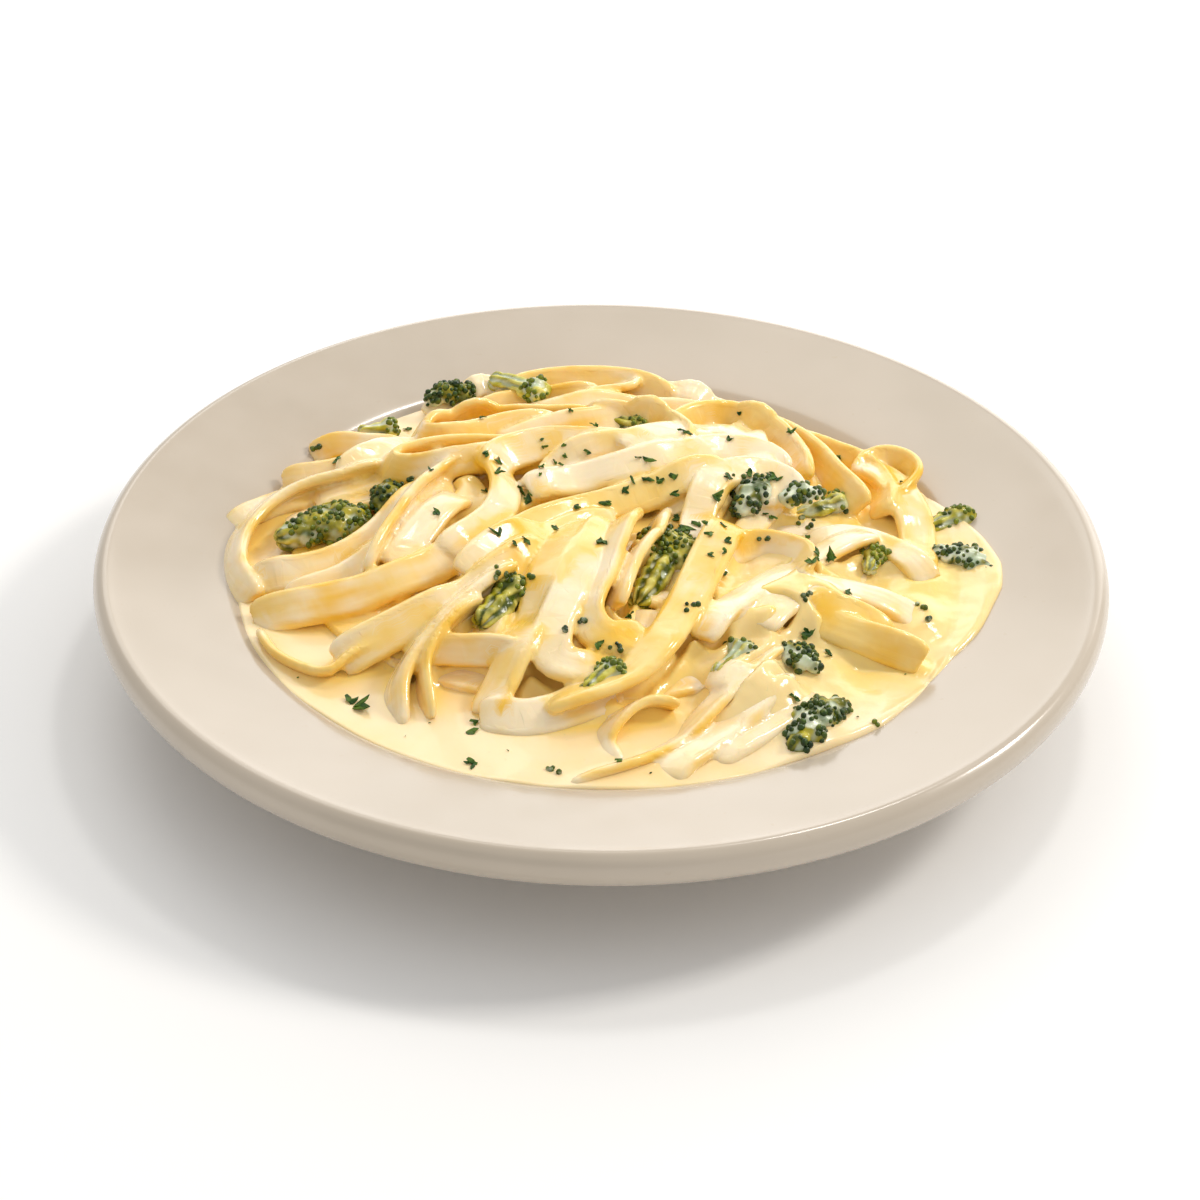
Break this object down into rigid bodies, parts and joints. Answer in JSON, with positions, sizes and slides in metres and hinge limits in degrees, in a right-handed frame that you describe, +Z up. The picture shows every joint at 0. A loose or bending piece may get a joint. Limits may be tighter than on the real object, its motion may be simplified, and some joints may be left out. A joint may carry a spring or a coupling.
{
  "type": "plate of fettuccine alfredo with broccoli",
  "caption": "Wide-rimmed stoneware pasta plate filled with ribbon noodles in cream sauce, with broccoli florets and chopped parsley.",
  "frame": {"origin": "on the table, under the middle of the plate", "axes": "+Z up, -Y towards the front of the dish, +X to the right of someone who faces it"},
  "size_m": [0.29, 0.29, 0.0517],
  "materials": {
    "stoneware_glaze": "smooth warm off-white glaze",
    "cream_sauce": "glossy thick cream sauce",
    "pasta": "cooked egg noodle with a wet coat of sauce",
    "broccoli_green": "cooked broccoli, dark buds and yellow-green stalks"
  },
  "bodies": {
    "root": {"plate": "stoneware_glaze", "sauce": "cream_sauce", "noodles": "pasta", "broccoli_left_large": "broccoli_green", "broccoli_left_small": "broccoli_green", "broccoli_back_left_pale": "broccoli_green", "broccoli_back_dark": "broccoli_green", "broccoli_back_stem": "broccoli_green", "broccoli_centre_large": "broccoli_green", "broccoli_centre_cut": "broccoli_green", "broccoli_front_stem": "broccoli_green", "broccoli_top": "broccoli_green", "broccoli_right_dark": "broccoli_green", "broccoli_right_grey": "broccoli_green", "broccoli_right_striped": "broccoli_green", "broccoli_right_bud": "broccoli_green", "broccoli_edge_green": "broccoli_green", "broccoli_edge_dark": "broccoli_green", "broccoli_front_beads": "broccoli_green", "broccoli_front_strip": "broccoli_green", "broccoli_front_right": "broccoli_green"}
  },
  "joints": []
}
